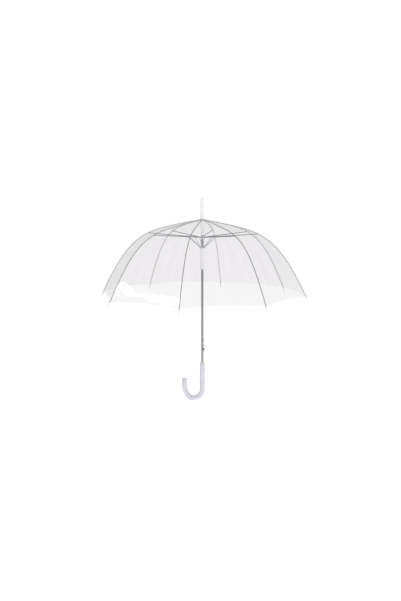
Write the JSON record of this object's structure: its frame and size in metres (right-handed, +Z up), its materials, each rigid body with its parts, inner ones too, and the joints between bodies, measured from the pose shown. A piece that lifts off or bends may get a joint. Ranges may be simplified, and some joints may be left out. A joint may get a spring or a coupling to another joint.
{
  "type": "stick umbrella",
  "caption": "Open clear dome stick umbrella with curved steel ribs, a push-button shaft and a white crook handle.",
  "frame": {"origin": "on the shaft axis, at the middle of the handle's straight grip", "axes": "+Z up the shaft to the ferrule, crook towards -X, button and latch on +X, front of the open canopy towards -Y"},
  "size_m": [0.8798, 0.8798, 0.8658],
  "materials": {
    "clear_film": "clear glossy PVC film",
    "chromed_shaft": "polished, grey reflections",
    "handle_plastic": "glossy white with a cool cast",
    "white_plastic": "white moulded plastic",
    "tip_plastic": "white moulded plastic",
    "rib_steel": "bright fluted steel",
    "spring_steel": "drawn wire",
    "stretcher_steel": "fluted steel",
    "dark_steel": "plain steel"
  },
  "bodies": {
    "shaft": {"shaft_tube": "chromed_shaft", "crook_handle": "handle_plastic", "ferrule": "white_plastic", "canopy_cap": "white_plastic", "crown": "white_plastic", "crown_wire": "dark_steel", "button_bezel": "dark_steel"},
    "runner": {"runner": "white_plastic", "runner_wire": "dark_steel"},
    "upper_slider": {"upper_slider": "white_plastic", "slider_wire": "dark_steel", "opening_spring": "spring_steel"},
    "latch": {"latch": "dark_steel"},
    "push_button": {"push_button": "dark_steel"},
    "rib_1": {"rib_1": "rib_steel", "rib_tip_1": "tip_plastic"},
    "rib_2": {"rib_2": "rib_steel", "rib_tip_2": "tip_plastic"},
    "rib_3": {"rib_3": "rib_steel", "rib_tip_3": "tip_plastic"},
    "rib_4": {"rib_4": "rib_steel", "rib_tip_4": "tip_plastic"},
    "rib_5": {"rib_5": "rib_steel", "rib_tip_5": "tip_plastic"},
    "rib_6": {"rib_6": "rib_steel", "rib_tip_6": "tip_plastic"},
    "rib_7": {"rib_7": "rib_steel", "rib_tip_7": "tip_plastic"},
    "rib_8": {"rib_8": "rib_steel", "rib_tip_8": "tip_plastic"},
    "stretcher_1": {"stretcher_1": "stretcher_steel"},
    "stretcher_2": {"stretcher_2": "stretcher_steel"},
    "stretcher_3": {"stretcher_3": "stretcher_steel"},
    "stretcher_4": {"stretcher_4": "stretcher_steel"},
    "stretcher_5": {"stretcher_5": "stretcher_steel"},
    "stretcher_6": {"stretcher_6": "stretcher_steel"},
    "stretcher_7": {"stretcher_7": "stretcher_steel"},
    "stretcher_8": {"stretcher_8": "stretcher_steel"},
    "link_1": {"link_1": "stretcher_steel"},
    "link_2": {"link_2": "stretcher_steel"},
    "link_3": {"link_3": "stretcher_steel"},
    "link_4": {"link_4": "stretcher_steel"},
    "link_5": {"link_5": "stretcher_steel"},
    "link_6": {"link_6": "stretcher_steel"},
    "link_7": {"link_7": "stretcher_steel"},
    "link_8": {"link_8": "stretcher_steel"},
    "canopy_gore_1": {"canopy_gore_1": "clear_film"},
    "canopy_gore_2": {"canopy_gore_2": "clear_film"},
    "canopy_gore_3": {"canopy_gore_3": "clear_film"},
    "canopy_gore_4": {"canopy_gore_4": "clear_film"},
    "canopy_gore_5": {"canopy_gore_5": "clear_film"},
    "canopy_gore_6": {"canopy_gore_6": "clear_film"},
    "canopy_gore_7": {"canopy_gore_7": "clear_film"},
    "canopy_gore_8": {"canopy_gore_8": "clear_film"}
  },
  "joints": [
    {"name": "runner_slide", "type": "slide", "parent": "shaft", "child": "runner", "axis": [0, 0, -1], "range_m": [0, 0.31185], "stiffness_N_per_m": 120, "springref_m": -0.25},
    {"name": "upper_slider_slide", "type": "slide", "parent": "shaft", "child": "upper_slider", "axis": [0, 0, -1], "range_m": [0, 0.3375], "deforming": ["opening_spring"]},
    {"name": "button_press", "type": "slide", "parent": "shaft", "child": "push_button", "axis": [-1, 0, 0], "range_m": [0, 0.0036], "stiffness_N_per_m": 700, "springref_m": -0.002},
    {"name": "latch_slide", "type": "slide", "parent": "shaft", "child": "latch", "axis": [-1, 0, 0], "range_m": [0, 0.0036]},
    {"name": "rib_1_hinge", "type": "hinge", "parent": "shaft", "child": "rib_1", "pos_m": [0.00843, -0.00171, 0.6614], "axis": [0.1994, 0.9799, 0], "range_deg": [0, 52.2]},
    {"name": "rib_2_hinge", "type": "hinge", "parent": "shaft", "child": "rib_2", "pos_m": [0.00475, -0.00717, 0.6614], "axis": [0.8339, 0.5519, 0], "range_deg": [0, 52.2]},
    {"name": "rib_3_hinge", "type": "hinge", "parent": "shaft", "child": "rib_3", "pos_m": [-0.00171, -0.00843, 0.6614], "axis": [0.9799, -0.1994, 0], "range_deg": [0, 52.2]},
    {"name": "rib_4_hinge", "type": "hinge", "parent": "shaft", "child": "rib_4", "pos_m": [-0.00717, -0.00475, 0.6614], "axis": [0.5519, -0.8339, 0], "range_deg": [0, 52.2]},
    {"name": "rib_5_hinge", "type": "hinge", "parent": "shaft", "child": "rib_5", "pos_m": [-0.00843, 0.00171, 0.6614], "axis": [-0.1994, -0.9799, 0], "range_deg": [0, 52.2]},
    {"name": "rib_6_hinge", "type": "hinge", "parent": "shaft", "child": "rib_6", "pos_m": [-0.00475, 0.00717, 0.6614], "axis": [-0.8339, -0.5519, 0], "range_deg": [0, 52.2]},
    {"name": "rib_7_hinge", "type": "hinge", "parent": "shaft", "child": "rib_7", "pos_m": [0.00171, 0.00843, 0.6614], "axis": [-0.9799, 0.1994, 0], "range_deg": [0, 52.2]},
    {"name": "rib_8_hinge", "type": "hinge", "parent": "shaft", "child": "rib_8", "pos_m": [0.00717, 0.00475, 0.6614], "axis": [-0.5519, 0.8339, 0], "range_deg": [0, 52.2]},
    {"name": "stretcher_1_hinge", "type": "hinge", "parent": "upper_slider", "child": "stretcher_1", "pos_m": [0.00855, 0.00091, 0.59], "axis": [0.1994, 0.9799, 0], "range_deg": [-61.3, 0]},
    {"name": "stretcher_2_hinge", "type": "hinge", "parent": "upper_slider", "child": "stretcher_2", "pos_m": [0.00669, -0.0054, 0.59], "axis": [0.8339, 0.5519, 0], "range_deg": [-61.3, 0]},
    {"name": "stretcher_3_hinge", "type": "hinge", "parent": "upper_slider", "child": "stretcher_3", "pos_m": [0.00091, -0.00855, 0.59], "axis": [0.9799, -0.1994, 0], "range_deg": [-61.3, 0]},
    {"name": "stretcher_4_hinge", "type": "hinge", "parent": "upper_slider", "child": "stretcher_4", "pos_m": [-0.0054, -0.00669, 0.59], "axis": [0.5519, -0.8339, 0], "range_deg": [-61.3, 0]},
    {"name": "stretcher_5_hinge", "type": "hinge", "parent": "upper_slider", "child": "stretcher_5", "pos_m": [-0.00855, -0.00091, 0.59], "axis": [-0.1994, -0.9799, 0], "range_deg": [-61.3, 0]},
    {"name": "stretcher_6_hinge", "type": "hinge", "parent": "upper_slider", "child": "stretcher_6", "pos_m": [-0.00669, 0.0054, 0.59], "axis": [-0.8339, -0.5519, 0], "range_deg": [-61.3, 0]},
    {"name": "stretcher_7_hinge", "type": "hinge", "parent": "upper_slider", "child": "stretcher_7", "pos_m": [-0.00091, 0.00855, 0.59], "axis": [-0.9799, 0.1994, 0], "range_deg": [-61.3, 0]},
    {"name": "stretcher_8_hinge", "type": "hinge", "parent": "upper_slider", "child": "stretcher_8", "pos_m": [0.0054, 0.00669, 0.59], "axis": [-0.5519, 0.8339, 0], "range_deg": [-61.3, 0]},
    {"name": "link_1_hinge", "type": "hinge", "parent": "runner", "child": "link_1", "pos_m": [0.00854, -0.00102, 0.5465], "axis": [0.1994, 0.9799, 0], "range_deg": [-30.9, 0]},
    {"name": "link_2_hinge", "type": "hinge", "parent": "runner", "child": "link_2", "pos_m": [0.00532, -0.00676, 0.5465], "axis": [0.8339, 0.5519, 0], "range_deg": [-30.9, 0]},
    {"name": "link_3_hinge", "type": "hinge", "parent": "runner", "child": "link_3", "pos_m": [-0.00102, -0.00854, 0.5465], "axis": [0.9799, -0.1994, 0], "range_deg": [-30.9, 0]},
    {"name": "link_4_hinge", "type": "hinge", "parent": "runner", "child": "link_4", "pos_m": [-0.00676, -0.00532, 0.5465], "axis": [0.5519, -0.8339, 0], "range_deg": [-30.9, 0]},
    {"name": "link_5_hinge", "type": "hinge", "parent": "runner", "child": "link_5", "pos_m": [-0.00854, 0.00102, 0.5465], "axis": [-0.1994, -0.9799, 0], "range_deg": [-30.9, 0]},
    {"name": "link_6_hinge", "type": "hinge", "parent": "runner", "child": "link_6", "pos_m": [-0.00532, 0.00676, 0.5465], "axis": [-0.8339, -0.5519, 0], "range_deg": [-30.9, 0]},
    {"name": "link_7_hinge", "type": "hinge", "parent": "runner", "child": "link_7", "pos_m": [0.00102, 0.00854, 0.5465], "axis": [-0.9799, 0.1994, 0], "range_deg": [-30.9, 0]},
    {"name": "link_8_hinge", "type": "hinge", "parent": "runner", "child": "link_8", "pos_m": [0.00676, 0.00532, 0.5465], "axis": [-0.5519, 0.8339, 0], "range_deg": [-30.9, 0]},
    {"name": "canopy_gore_1_fold", "type": "hinge", "parent": "shaft", "child": "canopy_gore_1", "pos_m": [0.00659, -0.00444, 0.664], "axis": [0.5592, 0.829, 0], "range_deg": [0, 48.8], "deforming": ["canopy_gore_1"]},
    {"name": "canopy_gore_2_fold", "type": "hinge", "parent": "shaft", "child": "canopy_gore_2", "pos_m": [0.00152, -0.0078, 0.664], "axis": [0.9816, 0.1908, 0], "range_deg": [0, 48.8], "deforming": ["canopy_gore_2"]},
    {"name": "canopy_gore_3_fold", "type": "hinge", "parent": "shaft", "child": "canopy_gore_3", "pos_m": [-0.00444, -0.00659, 0.664], "axis": [0.829, -0.5592, 0], "range_deg": [0, 48.8], "deforming": ["canopy_gore_3"]},
    {"name": "canopy_gore_4_fold", "type": "hinge", "parent": "shaft", "child": "canopy_gore_4", "pos_m": [-0.0078, -0.00152, 0.664], "axis": [0.1908, -0.9816, 0], "range_deg": [0, 48.8], "deforming": ["canopy_gore_4"]},
    {"name": "canopy_gore_5_fold", "type": "hinge", "parent": "shaft", "child": "canopy_gore_5", "pos_m": [-0.00659, 0.00444, 0.664], "axis": [-0.5592, -0.829, 0], "range_deg": [0, 48.8], "deforming": ["canopy_gore_5"]},
    {"name": "canopy_gore_6_fold", "type": "hinge", "parent": "shaft", "child": "canopy_gore_6", "pos_m": [-0.00152, 0.0078, 0.664], "axis": [-0.9816, -0.1908, 0], "range_deg": [0, 48.8], "deforming": ["canopy_gore_6"]},
    {"name": "canopy_gore_7_fold", "type": "hinge", "parent": "shaft", "child": "canopy_gore_7", "pos_m": [0.00444, 0.00659, 0.664], "axis": [-0.829, 0.5592, 0], "range_deg": [0, 48.8], "deforming": ["canopy_gore_7"]},
    {"name": "canopy_gore_8_fold", "type": "hinge", "parent": "shaft", "child": "canopy_gore_8", "pos_m": [0.0078, 0.00152, 0.664], "axis": [-0.1908, 0.9816, 0], "range_deg": [0, 48.8], "deforming": ["canopy_gore_8"]}
  ],
  "couplings": [
    {"joint": "upper_slider_slide", "follows": "runner_slide", "ratio": 1.0795},
    {"joint": "latch_slide", "follows": "button_press", "ratio": 1},
    {"joint": "rib_1_hinge", "follows": "runner_slide", "rad_per_m": 2.906},
    {"joint": "rib_2_hinge", "follows": "runner_slide", "rad_per_m": 2.906},
    {"joint": "rib_3_hinge", "follows": "runner_slide", "rad_per_m": 2.906},
    {"joint": "rib_4_hinge", "follows": "runner_slide", "rad_per_m": 2.906},
    {"joint": "rib_5_hinge", "follows": "runner_slide", "rad_per_m": 2.906},
    {"joint": "rib_6_hinge", "follows": "runner_slide", "rad_per_m": 2.906},
    {"joint": "rib_7_hinge", "follows": "runner_slide", "rad_per_m": 2.906},
    {"joint": "rib_8_hinge", "follows": "runner_slide", "rad_per_m": 2.906},
    {"joint": "stretcher_1_hinge", "follows": "runner_slide", "rad_per_m": -3.4139},
    {"joint": "stretcher_2_hinge", "follows": "runner_slide", "rad_per_m": -3.4139},
    {"joint": "stretcher_3_hinge", "follows": "runner_slide", "rad_per_m": -3.4139},
    {"joint": "stretcher_4_hinge", "follows": "runner_slide", "rad_per_m": -3.4139},
    {"joint": "stretcher_5_hinge", "follows": "runner_slide", "rad_per_m": -3.4139},
    {"joint": "stretcher_6_hinge", "follows": "runner_slide", "rad_per_m": -3.4139},
    {"joint": "stretcher_7_hinge", "follows": "runner_slide", "rad_per_m": -3.4139},
    {"joint": "stretcher_8_hinge", "follows": "runner_slide", "rad_per_m": -3.4139},
    {"joint": "link_1_hinge", "follows": "runner_slide", "rad_per_m": -1.7127},
    {"joint": "link_2_hinge", "follows": "runner_slide", "rad_per_m": -1.7127},
    {"joint": "link_3_hinge", "follows": "runner_slide", "rad_per_m": -1.7127},
    {"joint": "link_4_hinge", "follows": "runner_slide", "rad_per_m": -1.7127},
    {"joint": "link_5_hinge", "follows": "runner_slide", "rad_per_m": -1.7127},
    {"joint": "link_6_hinge", "follows": "runner_slide", "rad_per_m": -1.7127},
    {"joint": "link_7_hinge", "follows": "runner_slide", "rad_per_m": -1.7127},
    {"joint": "link_8_hinge", "follows": "runner_slide", "rad_per_m": -1.7127},
    {"joint": "canopy_gore_1_fold", "follows": "runner_slide", "rad_per_m": 2.7144},
    {"joint": "canopy_gore_2_fold", "follows": "runner_slide", "rad_per_m": 2.7144},
    {"joint": "canopy_gore_3_fold", "follows": "runner_slide", "rad_per_m": 2.7144},
    {"joint": "canopy_gore_4_fold", "follows": "runner_slide", "rad_per_m": 2.7144},
    {"joint": "canopy_gore_5_fold", "follows": "runner_slide", "rad_per_m": 2.7144},
    {"joint": "canopy_gore_6_fold", "follows": "runner_slide", "rad_per_m": 2.7144},
    {"joint": "canopy_gore_7_fold", "follows": "runner_slide", "rad_per_m": 2.7144},
    {"joint": "canopy_gore_8_fold", "follows": "runner_slide", "rad_per_m": 2.7144}
  ]
}
